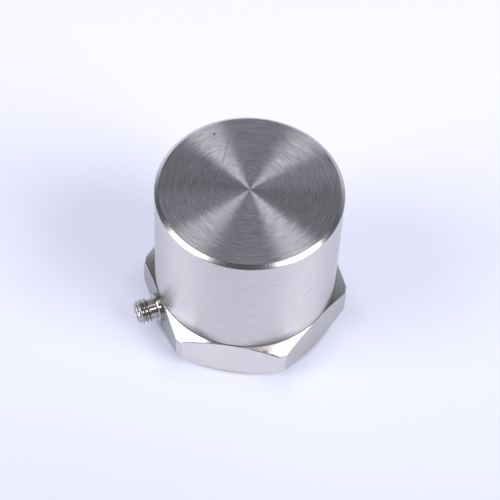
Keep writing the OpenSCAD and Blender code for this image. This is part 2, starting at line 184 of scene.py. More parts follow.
class Wiring:
    """Adds nodes to a node tree and joins them."""

    def __init__(self, tree):
        self.nodes = tree.nodes
        self.links = tree.links

    def feed(self, socket, value):
        if isinstance(value, bpy.types.NodeSocket):
            self.links.new(value, socket)
        else:
            socket.default_value = value

    def add(self, kind, inputs=None, **settings):
        node = self.nodes.new(kind)
        for name, value in settings.items():
            setattr(node, name, value)
        for name, value in (inputs or {}).items():
            self.feed(node.inputs[name], value)
        return node

    def calculate(self, kind, operation, values):
        node = self.add(kind, operation=operation)
        for socket, value in zip(node.inputs, values):
            self.feed(socket, value)
        return node

    def math(self, operation, *values):
        return self.calculate("ShaderNodeMath", operation, values).outputs["Value"]

    def whole(self, operation, *values):
        return self.calculate("FunctionNodeIntegerMath", operation, values).outputs["Value"]

    def vector(self, operation, *values):
        return self.calculate("ShaderNodeVectorMath", operation, values).outputs["Vector"]

    def length(self, value):
        return self.calculate("ShaderNodeVectorMath", "LENGTH", [value]).outputs["Value"]

    def dot(self, first, second):
        return self.calculate("ShaderNodeVectorMath", "DOT_PRODUCT", [first, second]).outputs["Value"]

    def ranged(self, value, low, high, to_low=0.0, to_high=1.0):
        names = ("Value", "From Min", "From Max", "To Min", "To Max")
        inputs = dict(zip(names, (value, low, high, to_low, to_high)))
        return self.add("ShaderNodeMapRange", inputs).outputs["Result"]

    def split(self, value):
        return self.add("ShaderNodeSeparateXYZ", {"Vector": value}).outputs

    def joined(self, x, y, z):
        return self.add("ShaderNodeCombineXYZ", {"X": x, "Y": y, "Z": z}).outputs["Vector"]

    def blend(self, share, first, second):
        # The mix has sockets of the same name for each kind of data, so those for colours go by number
        node = self.add("ShaderNodeMix", data_type="RGBA")
        self.feed(node.inputs[0], share)
        self.feed(node.inputs[6], first)
        self.feed(node.inputs[7], second)
        return node.outputs[2]


def add_sockets(tree, in_out, sockets):
    """Gives a node tree its named inputs or outputs, each (name, kind, starting value)."""
    for name, kind, start in sockets:
        socket = tree.interface.new_socket(name, in_out=in_out, socket_type="NodeSocket" + kind)
        if start is not None:
            socket.default_value = start


# Meshes


def turned_form_tree():
    """Geometry nodes that turn a profile round the Z axis.

    A row of the profile may reach out to a hexagon with turned corners, and rise or fall on its way.
    It may also carry a thread, which is the change of radius at the root of the thread.
    """
    tree = bpy.data.node_groups.new("turned_form", "GeometryNodeTree")
    tree.is_modifier = True
    add_sockets(tree, "INPUT", [
        ("Profile", "Geometry", None),
        ("Columns", "Int", 300),
        ("Flat Radius", "Float", 1.0),
        ("Corner Radius", "Float", 1.0),
        ("Flat End", "Float", math.radians(24)),
        ("Corner Start", "Float", math.radians(26.4)),
        ("Pitch", "Float", PITCH),
        ("Material", "Material", None),
    ])
    add_sockets(tree, "OUTPUT", [("Mesh", "Geometry", None)])
    w = Wiring(tree)
    given = w.add("NodeGroupInput").outputs
    size = w.add("GeometryNodeAttributeDomainSize", {"Geometry": given["Profile"]}, component="MESH")
    rows = size.outputs["Point Count"]
    columns = given["Columns"]
    grid = w.add("GeometryNodeMeshGrid", {"Vertices X": w.whole("ADD", columns, 1), "Vertices Y": rows})
    index = w.add("GeometryNodeInputIndex").outputs["Index"]
    row = w.whole("MODULO", index, rows)
    column = w.whole("DIVIDE_FLOOR", index, rows)

    def on_row(name):
        field = w.add("GeometryNodeInputNamedAttribute", {"Name": name}, data_type="FLOAT")
        inputs = {"Geometry": given["Profile"], "Value": field.outputs["Attribute"], "Index": row}
        return w.add("GeometryNodeSampleIndex", inputs, data_type="FLOAT", domain="POINT").outputs["Value"]

    # Each sixth of a turn runs from corner to corner, with its flat in the middle.
    # The flat, the broken edge beside it and the corner's land take their shares of the columns.
    flat_share = 0.4
    edge_share = 0.44
    land_share = 0.5
    sixth = w.math("DIVIDE", w.math("MULTIPLY", column, 6.0), columns)
    sector = w.math("FLOOR", sixth)
    across = w.math("SUBTRACT", w.math("SUBTRACT", sixth, sector), 0.5)
    away = w.math("ABSOLUTE", across)
    band = w.math("SUBTRACT", given["Corner Start"], given["Flat End"])
    land = w.math("SUBTRACT", math.radians(30), given["Corner Start"])
    on_flat = w.ranged(away, 0.0, flat_share, 0.0, given["Flat End"])
    on_band = w.ranged(away, flat_share, edge_share, 0.0, band)
    on_land = w.ranged(away, edge_share, land_share, 0.0, land)
    from_flat = w.math("ADD", w.math("ADD", on_flat, on_band), on_land)
    signed = w.math("MULTIPLY", from_flat, w.math("SIGN", across))
    angle = w.math("ADD", w.math("MULTIPLY", sector, math.radians(60)), signed)
    hexagon = w.math("DIVIDE", given["Flat Radius"], w.math("COSINE", from_flat))
    outside = w.math("MINIMUM", hexagon, given["Corner Radius"])

    # Flanks at 30 degrees, a crest an eighth of the pitch wide and a root twice as wide
    turns = w.math("DIVIDE", angle, math.tau)
    along = w.math("FRACT", w.math("SUBTRACT", w.math("DIVIDE", on_row("height"), given["Pitch"]), turns))
    crest = w.math("MULTIPLY", w.math("ABSOLUTE", w.math("SUBTRACT", along, 0.5)), 2.0)
    groove = w.math("SUBTRACT", 1.0, w.ranged(crest, 0.25, 0.875))

    start = on_row("radius")
    reached = w.math("MULTIPLY", on_row("reach"), w.math("SUBTRACT", outside, start))
    threaded = w.math("MULTIPLY", on_row("thread"), groove)
    grown = w.math("ADD", w.math("ADD", reached, on_row("shift")), threaded)
    radius = w.math("ADD", start, grown)
    height = w.math("ADD", on_row("height"), w.math("MULTIPLY", on_row("slope"), grown))
    place = w.joined(
        w.math("MULTIPLY", radius, w.math("COSINE", angle)),
        w.math("MULTIPLY", radius, w.math("SINE", angle)),
        height,
    )
    moved = w.add("GeometryNodeSetPosition", {"Geometry": grid.outputs["Mesh"], "Position": place})
    inputs = {"Geometry": moved.outputs["Geometry"], "Distance": 1e-3 * MM}
    closed = w.add("GeometryNodeMergeByDistance", inputs)
    real = w.add("GeometryNodeRealizeInstances", {"Geometry": closed.outputs["Geometry"]})
    inputs = {"Geometry": real.outputs["Geometry"], "Material": given["Material"]}
    dressed = w.add("GeometryNodeSetMaterial", inputs)
    w.add("NodeGroupOutput", {"Mesh": dressed.outputs["Geometry"]})
    return tree


def softened(corners, steps=3):
    """Rows of a turned outline, from corners of (radius, height, edge radius).

    An edge radius gives the corner an arc, with one more row on each side to keep the faces next to it flat.
    """
    rows = []
    for i, (radius, height, edge) in enumerate(corners):
        here = Vector((radius, height))
        if not edge:
            rows.append(Row(radius, height))
            continue
        back = (Vector(corners[i - 1][:2]) - here).normalized()
        ahead = (Vector(corners[i + 1][:2]) - here).normalized()
        half = back.angle(ahead) / 2
        tangent = edge / math.tan(half)
        centre = here + (back + ahead).normalized() * edge / math.sin(half)
        first = here + back * tangent - centre
        turn = first.angle_signed(here + ahead * tangent - centre)
        rows.append(Row(*(here + back * (tangent + edge))))
        for step in range(steps + 1):
            rows.append(Row(*(centre + Matrix.Rotation(-turn * step / steps, 2) @ first)))
        rows.append(Row(*(here + ahead * (tangent + edge))))
    return rows


def threaded(start, end, radius, root, runout=0.0):
    """Rows of a thread between two heights. Its depth fades over the runout at the start."""
    count = round(abs(end - start) / PITCH * ROWS_PER_PITCH)
    rows = []
    for step in range(count + 1):
        height = start + (end - start) * step / count
        depth = min(1.0, abs(height - start) / runout) if runout else 1.0
        rows.append(Row(radius, height, thread=(root - radius) * depth))
    return rows


def clean_mesh(mesh):
    """Merges doubles, turns the faces outwards and keeps only the true edges sharp."""
    work = bmesh.new()
    work.from_mesh(mesh)
    bmesh.ops.remove_doubles(work, verts=work.verts, dist=1e-4 * MM)
    bmesh.ops.dissolve_degenerate(work, edges=work.edges, dist=1e-4 * MM)
    bmesh.ops.recalc_face_normals(work, faces=work.faces)
    work.to_mesh(mesh)
    work.free()
    mesh.shade_smooth()
    mesh.set_sharp_from_angle(angle=SHARP_EDGE)


def plain_mesh(holder):
    """The mesh of an object with its modifiers applied. The object is removed."""
    graph = bpy.context.evaluated_depsgraph_get()
    mesh = bpy.data.meshes.new_from_object(holder.evaluated_get(graph))
    bpy.data.objects.remove(holder)
    return mesh


def add_object(name, data):
    made = bpy.data.objects.new(name, data)
    bpy.context.scene.collection.objects.link(made)
    return made


def turned_mesh(name, rows, material, sizes=None):
    """Runs the turned_form tree on the rows of a profile."""
    profile = bpy.data.meshes.new(name)
    profile.from_pydata([(row.radius, 0, row.height) for row in rows], [], [])
    for field in Row._fields:
        values = profile.attributes.new(field, "FLOAT", "POINT")
        values.data.foreach_set("value", [getattr(row, field) for row in rows])
    holder = add_object(name, profile)
    form = holder.modifiers.new("turned_form", "NODES")
    form.node_group = TURNED_FORM
    given = {"Material": material, **(sizes or {})}
    for socket in TURNED_FORM.interface.items_tree:
        if socket.name in given:
            form[socket.identifier] = given[socket.name]
    mesh = plain_mesh(holder)
    # The tree's mesh has an empty slot before its material, which goes
    mesh.materials.clear()
    mesh.materials.append(material)
    return mesh


def drill_cutter(start, end, radius):
    """A cylinder from start to end."""
    axis = end - start
    place = Matrix.Translation((start + end) / 2) @ axis.to_track_quat("Z", "Y").to_matrix().to_4x4()
    work = bmesh.new()
    bmesh.ops.create_cone(work, cap_ends=True, segments=96, radius1=radius, radius2=radius,
                          depth=axis.length, matrix=place)
    mesh = bpy.data.meshes.new("drill")
    work.to_mesh(mesh)
    work.free()
    return add_object("drill", mesh)


def drilled(name, mesh, drillings):
    """Cuts round holes out of a mesh, each (start, end, radius)."""
    holder = add_object(name, mesh)
    cutters = [drill_cutter(*drilling) for drilling in drillings]
    for cutter in cutters:
        cut = holder.modifiers.new("drill", "BOOLEAN")
        cut.object = cutter
        cut.solver = "EXACT"
    made = plain_mesh(holder)
    for cutter in cutters:
        bpy.data.objects.remove(cutter)
    return made


def finish_piece(name, mesh, node):
    """Puts a finished mesh in the place of a CAD node."""
    clean_mesh(mesh)
    piece = add_object(name, mesh)
    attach(piece, "root")
    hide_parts(node)
    return piece


def make_housing(wall, face, rim):
    """Turned can: flat top, rim chamfer, wall, seam chamfer, and the bore with its fillet."""
    outside = softened([
        (0, CAN_TOP, 0),
        (CAN_R - RIM_W, CAN_TOP, FINE_EDGE),
        (CAN_R, CAN_TOP - RIM_H, RIM_EDGE),
        (CAN_R, HEX_H + SEAM_CHAMFER, FINE_EDGE / 2),
        (CAN_R - SEAM_CHAMFER, HEX_H, 0),
        (BORE_R + MOUTH_CHAMFER, HEX_H, 0),
        (BORE_R, HEX_H + MOUTH_CHAMFER, 0),
        (BORE_R, CAVITY_Z, INNER_FILLET),
        (0, CAVITY_Z, 0),
    ], steps=4)
    mesh = turned_mesh("housing_can", outside, wall, {"Columns": 288})
    mesh.materials.append(face)
    mesh.materials.append(rim)
    for part in mesh.polygons:
        level = abs(part.normal.z) > 0.99
        if part.center.z > CAN_TOP - RIM_H:
            part.material_index = 1 if level else 2
    return finish_piece("housing_can", mesh, "housing")


def base_rows():
    """Profile of the base, from the point of the mounting hole round to the screw hole in the post."""
    edge = FINE_EDGE
    hole = [Row(0, HOLE_DEPTH + HOLE_POINT)]
    hole += threaded(HOLE_DEPTH, SINK_R - HOLE_R, HOLE_R, THREAD_R, runout=2 * PITCH)
    sink = [Row(radius, SINK_R - radius, thread=max(0, THREAD_R - radius)) for radius in SINK_ROWS]
    face = [Row(SINK_R, 0), Row(SINK_R + edge, 0), Row(FOOT_R - 2 * edge, 0), Row(FOOT_R - edge, 0)]
    foot = [Row(FOOT_R, 0, reach, FOOT_SLOPE) for reach in CHAMFER_REACHES]
    foot_edge = [Row(FOOT_R, 0, 1, FOOT_SLOPE, -edge), Row(FOOT_R, edge, 1, FOOT_SLOPE)]
    wall = [Row(FOOT_R, 2 * edge, 1, FOOT_SLOPE), Row(CAN_R, HEX_H - 2 * edge, 1, -TOP_SLOPE)]
    top_edge = [Row(CAN_R, HEX_H - edge, 1, -TOP_SLOPE), Row(CAN_R, HEX_H, 1, -TOP_SLOPE, -edge)]
    cone = [Row(CAN_R, HEX_H, reach, -TOP_SLOPE) for reach in reversed(CHAMFER_REACHES)]
    stack = [
        Row(CAN_R, HEX_H),
        Row(SPIGOT_R - RELIEF_DEPTH, HEX_H),
        Row(SPIGOT_R - RELIEF_DEPTH, HEX_H + RELIEF_W),
        Row(SPIGOT_R, HEX_H + RELIEF_W + RELIEF_DEPTH),
        Row(SPIGOT_R, SPIGOT_Z),
        Row(SEAT_R, SPIGOT_Z),
        Row(SEAT_R, SEAT_Z),
        Row(POST_R, SEAT_Z),
        Row(POST_R, POST_TOP - POST_EDGE),
        Row(POST_R - POST_EDGE, POST_TOP),
        Row(SCREW_HOLE_R, POST_TOP),
        Row(SCREW_HOLE_R, POST_TOP - SCREW_HOLE_DEPTH),
        Row(0, POST_TOP - SCREW_HOLE_DEPTH),
    ]
    return hole + sink + face + foot + foot_edge + wall + top_edge + cone + stack


def make_base(turned, milled):
    """Hexagonal base with its spigot, seat and post, and the crossing drillings of the connector."""
    corner = math.acos(FLAT_R / CORNER_R)
    band = FINE_EDGE / CORNER_R
    mesh = turned_mesh("base_body", base_rows(), turned, {
        "Columns": 300,
        "Flat Radius": FLAT_R,
        "Corner Radius": CORNER_R,
        "Flat End": corner - band,
        "Corner Start": corner + band,
    })
    clean_mesh(mesh)
    passage_low = Vector((-LEAD_R, 0, CONNECTOR_Z - PASSAGE_R))
    mesh = drilled("base_body", mesh, [
        (Vector((-LEAD_R, 0, CONNECTOR_Z)), Vector((-FLAT_R - MM, 0, CONNECTOR_Z)), SHANK_R + SHANK_FIT),
        (passage_low, Vector((-LEAD_R, 0, SPIGOT_Z + MM)), PASSAGE_R),
    ])
    mesh.materials.append(milled)
    for face in mesh.polygons:
        upright = abs(face.normal.z) < 0.05
        if upright and face.center.xy.length > FLAT_R - FINE_EDGE:
            face.material_index = 1
    return finish_piece("base_body", mesh, "hex_base")


def make_connector(material):
    """Threaded receptacle, turned on its own axis and then laid along -X."""
    edge = FINE_EDGE / 2
    root = THREAD_R - THREAD_DEPTH
    behind = softened([
        (SOCKET_R - LIP_REACH, SHANK_IN, 0),
        (SHANK_R, SHANK_IN, 0),
        (SHANK_R, FLAT_R, 0),
        (COLLAR_R, FLAT_R, 0),
        (COLLAR_R, COLLAR_OUT - COLLAR_CHAMFER, edge),
        (COLLAR_R - COLLAR_CHAMFER, COLLAR_OUT, edge),
        (NECK_R, COLLAR_OUT, edge),
        (NECK_R, NECK_OUT, 0),
    ])
    thread = threaded(NECK_OUT, TIP_OUT - TIP_CHAMFER, THREAD_R, root)
    chamfer_rows = 8
    for step in range(1, chamfer_rows + 1):
        cut = TIP_CHAMFER * step / chamfer_rows
        radius = THREAD_R - cut
        thread.append(Row(radius, TIP_OUT - TIP_CHAMFER + cut, thread=min(0, root - radius)))
    front = [
        Row(SOCKET_R + edge, TIP_OUT),
        Row(SOCKET_R, TIP_OUT - edge),
        Row(SOCKET_R, SHANK_IN + LIP_T),
        Row(SOCKET_R - LIP_REACH, SHANK_IN + LIP_T),
        Row(SOCKET_R - LIP_REACH, SHANK_IN),
    ]
    mesh = turned_mesh("connector_body", behind + thread + front, material, {"Columns": 144})
    lay = Matrix.Rotation(math.radians(-90), 4, "Y") @ Matrix.Rotation(THREAD_TURN, 4, "Z")
    mesh.transform(Matrix.Translation((0, 0, CONNECTOR_Z)) @ lay)
    return finish_piece("connector_body", mesh, "connector_shell")


# Materials


def shader_group(name, inputs, outputs):
    """A shader node group, its wiring, and its inputs as sockets."""
    tree = bpy.data.node_groups.new(name, "ShaderNodeTree")
    add_sockets(tree, "INPUT", inputs)
    add_sockets(tree, "OUTPUT", outputs)
    w = Wiring(tree)
    return tree, w, w.add("NodeGroupInput").outputs


def noise(w, inputs):
    return w.add("ShaderNodeTexNoise", inputs).outputs["Fac"]


def turning_marks_group():
    """Rings that a lathe tool leaves round the Z axis of the vector, on faces and on walls."""
    tree, w, given = shader_group("turning_marks", [
        ("Vector", "Vector", None),
        ("Fine Pitch", "Float", 0.16 * MM),
        ("Coarse Pitch", "Float", 0.5 * MM),
        ("Arcs", "Float", 2.5),
    ], [("Height", "Float", None), ("Tone", "Float", None)])
    spoke = w.vector("MULTIPLY", given["Vector"], (1, 1, 0))
    along = w.math("ADD", w.length(spoke), w.split(given["Vector"])["Z"])
    around = w.vector("NORMALIZE", spoke)

    def rings(pitch, arcs, detail):
        step = w.joined(0.0, 0.0, w.math("DIVIDE", along, pitch))
        arc = w.vector("MULTIPLY", around, w.joined(arcs, arcs, 0.0))
        return noise(w, {"Vector": w.vector("ADD", arc, step), "Scale": 1.0, "Detail": detail})

    fine = rings(given["Fine Pitch"], given["Arcs"], 3.0)
    coarse = rings(given["Coarse Pitch"], w.math("MULTIPLY", given["Arcs"], 0.3), 2.0)
    tone = w.math("ADD", w.math("MULTIPLY", fine, 0.8), w.math("MULTIPLY", coarse, 0.2))
    w.add("NodeGroupOutput", {"Height": fine, "Tone": tone})
    return tree


def line_mark_group():
    """Mask of a scratch from start to end, or of a dot where the two are close together."""
    tree, w, given = shader_group("line_mark", [
        ("Vector", "Vector", None),
        ("Start", "Vector", None),
        ("End", "Vector", None),
        ("Width", "Float", 0.1 * MM),
    ], [("Mask", "Float", None)])
    run = w.vector("SUBTRACT", given["End"], given["Start"])
    here = w.vector("SUBTRACT", given["Vector"], given["Start"])
    share = w.math("DIVIDE", w.dot(here, run), w.dot(run, run))
    share = w.ranged(share, 0.0, 1.0)
    scaled = w.add("ShaderNodeVectorMath", {0: run, "Scale": share}, operation="SCALE").outputs["Vector"]
    distance = w.length(w.vector("SUBTRACT", here, scaled))
    core = w.math("MULTIPLY", given["Width"], 0.5)
    w.add("NodeGroupOutput", {"Mask": w.ranged(distance, core, given["Width"], 1.0, 0.0)})
    return tree


def weld_tint_group():
    """Masks of the heat tint beside a round weld seam, strongest at the tacks, and of the dark line in it."""
    tree, w, given = shader_group("weld_tint", [
        ("Vector", "Vector", None),
        ("Radius", "Float", 1.0),
        ("Height", "Float", 0.0),
        ("Reach", "Float", 1.0),
    ], [("Tint", "Float", None), ("Line", "Float", None)])
    place = w.split(given["Vector"])
    spoke = w.vector("MULTIPLY", given["Vector"], (1, 1, 0))
    outwards = w.math("ABSOLUTE", w.math("SUBTRACT", w.length(spoke), given["Radius"]))
    above = w.math("ABSOLUTE", w.math("SUBTRACT", place["Z"], given["Height"]))
    distance = w.math("ADD", outwards, above)
    angle = w.math("SUBTRACT", w.math("ARCTAN2", place["Y"], place["X"]), FIRST_TACK)
    tack = w.ranged(w.math("COSINE", w.math("MULTIPLY", angle, TACKS)), -0.6, 0.7, 0.2, 1.0)
    cloud = noise(w, {"Vector": given["Vector"], "Scale": 0.3 / MM, "Detail": 3.0})
    uneven = w.ranged(cloud, 0.35, 0.65, 0.75, 1.0)
    fade = w.ranged(distance, 0.1 * MM, given["Reach"], 1.0, 0.0)
    tint = w.math("MULTIPLY", fade, w.math("MULTIPLY", tack, uneven))
    w.add("NodeGroupOutput", {"Tint": tint, "Line": w.ranged(distance, 0.1 * MM, 0.28 * MM, 1.0, 0.0)})
    return tree


def surface_grain_group():
    """A fine uneven grain."""
    tree, w, given = shader_group("surface_grain", [
        ("Vector", "Vector", None),
        ("Size", "Float", 0.3 * MM),
    ], [("Tone", "Float", None)])
    scale = w.math("DIVIDE", 1.0, given["Size"])
    cloud = noise(w, {"Vector": given["Vector"], "Scale": scale, "Detail": 4.0})
    w.add("NodeGroupOutput", {"Tone": w.ranged(cloud, 0.3, 0.7)})
    return tree


def part_place_group():
    """Where a point lies on the parts of the circuit board, along and across the ring that they sit on.

    Parts of one kind sit in the given direction and at each spacing on from it, as angles.
    """
    tree, w, given = shader_group("part_place", [
        ("Vector", "Vector", None),
        ("Direction", "Float", 0.0),
        ("Spacing", "Float", math.tau),
    ], [("Along", "Float", None), ("Across", "Float", None)])
    place = w.split(given["Vector"])
    reach = w.length(w.vector("MULTIPLY", given["Vector"], (1, 1, 0)))
    turned = w.math("SUBTRACT", w.math("ARCTAN2", place["Y"], place["X"]), given["Direction"])
    half = w.math("DIVIDE", given["Spacing"], 2.0)
    nearest = w.math("WRAP", turned, half, w.math("MULTIPLY", half, -1.0))
    along = w.math("MULTIPLY", reach, w.math("SINE", nearest))
    across = w.math("SUBTRACT", w.math("MULTIPLY", reach, w.math("COSINE", nearest)), PARTS_R)
    w.add("NodeGroupOutput", {"Along": along, "Across": across})
    return tree


def new_material(name):
    material = bpy.data.materials.new(name)
    material.use_nodes = True
    material.node_tree.nodes.clear()
    return material, Wiring(material.node_tree)


def set_surface(w, shader):
    w.add("ShaderNodeOutputMaterial", {"Surface": shader.outputs["BSDF"]})


def object_place(w, centre=(0, 0, 0), turn=(0, 0, 0)):
    """Object coordinates, centred and turned for a piece."""
    place = w.add("ShaderNodeTexCoord").outputs["Object"]
    inputs = {"Vector": place, "Location": centre, "Rotation": turn}
    return w.add("ShaderNodeMapping", inputs, vector_type="TEXTURE").outputs["Vector"]


def group_node(w, tree, inputs):
    node = w.add("ShaderNodeGroup", node_tree=tree)
    for name, value in inputs.items():
        w.feed(node.inputs[name], value)
    return node.outputs


def turned_steel(name, dark, light, roughness, anisotropy, depth, axis=(0, 0, 1), centre=(0, 0, 0),
                 turn=(0, 0, 0), arcs=2.5, coarse_pitch=0.5 * MM, marks=(), heat_reach=0):
    """Lathe-turned steel: rings in tone, gloss and height, and reflections drawn out across the rings.

    The weld between housing and base tints the steel as far as its heat reaches.
    """
    material, w = new_material(name)
    place = object_place(w, centre, turn)
    rings = group_node(w, TURNING_MARKS, {"Vector": place, "Coarse Pitch": coarse_pitch, "Arcs": arcs})
    colour = w.blend(w.ranged(rings["Tone"], 0.3, 0.7), dark, light)
    gloss = w.ranged(rings["Tone"], 0.2, 0.8, roughness * 0.92, roughness * 1.08)
    for mark in marks:
        inputs = {"Vector": place, "Start": mark.start, "End": mark.end, "Width": mark.width}
        mask = group_node(w, LINE_MARK, inputs)["Mask"]
        colour = w.blend(mask, colour, mark.tint)
        gloss = w.ranged(mask, 0.0, 1.0, gloss, mark.roughness)
    if heat_reach:
        inputs = {"Vector": place, "Radius": CAN_R, "Height": HEX_H, "Reach": heat_reach}
        seam = group_node(w, WELD_TINT, inputs)
        colour = w.blend(seam["Tint"], colour, HEAT_TINT)
        colour = w.blend(seam["Line"], colour, SEAM_SHADE)
        gloss = w.ranged(seam["Line"], 0.0, 1.0, gloss, SEAM_ROUGHNESS)
    bump = w.add("ShaderNodeBump", {"Strength": 1.0, "Distance": depth, "Height": rings["Height"]})
    # The tangent runs along the rings, and a quarter turn draws the reflections out across them
    from_axis = w.vector("SUBTRACT", w.add("ShaderNodeTexCoord").outputs["Object"], centre)
    shader = w.add("ShaderNodeBsdfPrincipled", {
        "Base Color": colour,
        "Metallic": 1.0,
        "Roughness": gloss,
        "Anisotropic": anisotropy,
        "Anisotropic Rotation": 0.25,
        "Tangent": w.vector("CROSS_PRODUCT", axis, from_axis),
        "Normal": bump.outputs["Normal"],
    })
    set_surface(w, shader)
    return material


def wall_steel():
    """Wall of the housing, with one faint smear."""
    smear_start = Vector((6.66 * MM, -16.61 * MM, 22.9 * MM))
    smear_end = Vector((4.89 * MM, -17.22 * MM, 22.1 * MM))
    smear = Mark(smear_start, smear_end, 0.3 * MM, (0.55, 0.54, 0.53, 1), 0.31)
    return turned_steel("wall_steel", (0.605, 0.585, 0.565, 1), (0.745, 0.72, 0.70, 1), roughness=0.31,
                        anisotropy=0.85, depth=0.8e-3 * MM, arcs=8, marks=[smear], heat_reach=2.6 * MM)


def rim_steel():
    return turned_steel("rim_steel", (0.43, 0.425, 0.44, 1), (0.48, 0.475, 0.49, 1),
                        roughness=0.25, anisotropy=0.3, depth=0.02e-3 * MM)


def face_steel():
    """Top of the housing, with a scratch, a pit and a few bright specks."""
    dark_mark = (0.10, 0.09, 0.09, 1)
    bright_mark = (0.98, 0.98, 1, 1)
    short = Vector((0.01 * MM, 0.01 * MM, 0))
    scratch_start = Vector((0.35 * MM, 12.4 * MM, CAN_TOP))
    scratch_end = Vector((-2.7 * MM, 7.5 * MM, CAN_TOP))
    pit = Vector((-1.65 * MM, 14.65 * MM, CAN_TOP))
    marks = [
        Mark(scratch_start, scratch_end, 0.06 * MM, dark_mark, 0.4),
        Mark(pit, pit + short, 0.34 * MM, dark_mark, 0.5),
    ]
    for x, y in ((-16.65, 3.05), (-13.0, 0.05), (6.8, -11.6), (-6.8, -11.75)):
        speck = Vector((x * MM, y * MM, CAN_TOP))
        marks.append(Mark(speck, speck + short, 0.16 * MM, bright_mark, 0.6))
    return turned_steel("face_steel", (0.34, 0.332, 0.35, 1), (0.71, 0.697, 0.725, 1),
                        roughness=0.35, anisotropy=1.0, depth=1.0e-3 * MM, arcs=5,
                        coarse_pitch=0.25 * MM, marks=marks)


def base_steel():
    """Turned faces of the base, with a dull patch on the chamfer beside the seam, and a stain in it."""
    patch_start = Vector((-6.1 * MM, -16.95 * MM, 9.6 * MM))
    patch_end = Vector((-2.6 * MM, -18.2 * MM, 9.4 * MM))
    tail_end = Vector((2.0 * MM, -18.05 * MM, 9.5 * MM))
    stain_start = Vector((-3.2 * MM, -18.65 * MM, 9.02 * MM))
    stain_end = Vector((-2.9 * MM, -18.8 * MM, 8.95 * MM))
    edge_start = Vector((-5.4 * MM, -17.68 * MM, 9.25 * MM))
    edge_end = Vector((-2.4 * MM, -19.4 * MM, 8.6 * MM))
    marks = [
        Mark(patch_start, patch_end, 1.7 * MM, (0.74, 0.70, 0.68, 1), 0.5),
        Mark(patch_end, tail_end, 0.8 * MM, (0.74, 0.70, 0.68, 1), 0.5),
        Mark(stain_start, stain_end, 0.45 * MM, (0.44, 0.40, 0.41, 1), 0.5),
        Mark(edge_start, edge_end, 0.2 * MM, (0.28, 0.26, 0.27, 1), 0.5),
    ]
    return turned_steel("base_steel", (0.67, 0.66, 0.68, 1), (0.76, 0.75, 0.77, 1), roughness=0.22,
                        anisotropy=0.6, depth=0.4e-3 * MM, marks=marks, heat_reach=0.5 * MM)


def connector_steel():
    return turned_steel("connector_steel", (0.385, 0.376, 0.36, 1), (0.545, 0.535, 0.51, 1),
                        roughness=0.12, anisotropy=0.3, depth=0.5e-3 * MM, axis=(-1, 0, 0),
                        centre=(0, 0, CONNECTOR_Z), turn=(0, math.radians(-90), 0))


def milled_steel():
    """Satin flats with faint upright milling lines, and painted light: lighter steel on the flats that face
    one side of the base, darker steel on the others.
    """
    material, w = new_material("milled_steel")
    place = object_place(w)
    stretched = w.vector("MULTIPLY", place, (8 / MM, 8 / MM, 0.4 / MM))
    lines = noise(w, {"Vector": stretched, "Scale": 1.0, "Detail": 3.0})
    cloud = noise(w, {"Vector": place, "Scale": 0.25 / MM, "Detail": 2.0})
    tone = w.math("ADD", w.math("MULTIPLY", lines, 0.4), w.math("MULTIPLY", cloud, 0.6))
    bump = w.add("ShaderNodeBump", {"Strength": 1.0, "Distance": 1.0e-3 * MM, "Height": lines})
    # Painted light and shade: a lit copy of the steel on the flats facing one side, a shaded copy on the rest
    facing = w.dot(w.add("ShaderNodeNewGeometry").outputs["True Normal"], PAINTED_LIGHT_SIDE)
    bright = w.ranged(facing, 0.37, 0.98)
    painted_shaded_steel = w.blend(w.ranged(tone, 0.3, 0.7), (0.43, 0.426, 0.414, 1), (0.49, 0.486, 0.473, 1))
    painted_lit_steel = w.blend(w.ranged(tone, 0.3, 0.7), (0.70, 0.68, 0.65, 1), (0.76, 0.74, 0.71, 1))
    shader = w.add("ShaderNodeBsdfPrincipled", {
        "Base Color": w.blend(bright, painted_shaded_steel, painted_lit_steel),
        "Metallic": 1.0,
        "Roughness": w.ranged(tone, 0.3, 0.7, 0.36, 0.42),
        "Normal": bump.outputs["Normal"],
    })
    set_surface(w, shader)
    return material


def layered_finish(name, layers, stretch=(1, 1, 1)):
    """Material of an inner piece, from layers of (finish, mask), each over the ones before it.

    A mask is a function of the wiring and the place, and the first layer has none.
    Each finish has its own grain, which the stretch draws out.
    """
    material, w = new_material(name)
    place = object_place(w)
    drawn = w.vector("MULTIPLY", place, stretch)
    for finish, mask in layers:
        tone = group_node(w, SURFACE_GRAIN, {"Vector": drawn, "Size": finish.grain})["Tone"]
        tinted = w.blend(tone, finish.dark, finish.light)
        satin = w.ranged(tone, 0.0, 1.0, finish.roughness * 0.9, finish.roughness * 1.1)
        if mask is None:
            colour, gloss, metallic, height = tinted, satin, finish.metallic, tone
            continue
        share = mask(w, place)
        colour = w.blend(share, colour, tinted)
        gloss = w.ranged(share, 0.0, 1.0, gloss, satin)
        metallic = w.ranged(share, 0.0, 1.0, metallic, finish.metallic)
    bump = w.add("ShaderNodeBump", {"Strength": 0.4, "Distance": layers[0][0].grain * 0.02, "Height": height})
    shader = w.add("ShaderNodeBsdfPrincipled", {
        "Base Color": colour,
        "Metallic": metallic,
        "Roughness": gloss,
        "Normal": bump.outputs["Normal"],
    })
    set_surface(w, shader)
    return material


def beyond(w, value, limit):
    """Mask of what lies further than the limit to either side of zero."""
    return w.math("GREATER_THAN", w.math("ABSOLUTE", value), limit)


def between(w, value, low, high):
    return w.math("MULTIPLY", w.math("GREATER_THAN", value, low), w.math("LESS_THAN", value, high))


def part_place(w, place, direction, spacing=math.tau):
    return group_node(w, PART_PLACE, {"Vector": place, "Direction": direction, "Spacing": spacing})


def end_caps(direction, spacing):
    """Mask of the metal caps of chip resistors and chip capacitors."""
    return lambda w, place: beyond(w, part_place(w, place, direction, spacing)["Along"], CAP_START)


def end_leads(direction, start):
    """Mask of the leads at the ends of a moulded part."""
    return lambda w, place: beyond(w, part_place(w, place, direction)["Along"], start)


def end_band(direction, low, high):
    """Mask of a printed band near one end of a moulded part."""
    return lambda w, place: between(w, part_place(w, place, direction)["Along"], low, high)


def chip_leads(w, place):
    return beyond(w, part_place(w, place, CHIP_AT)["Across"], CHIP_ACROSS)


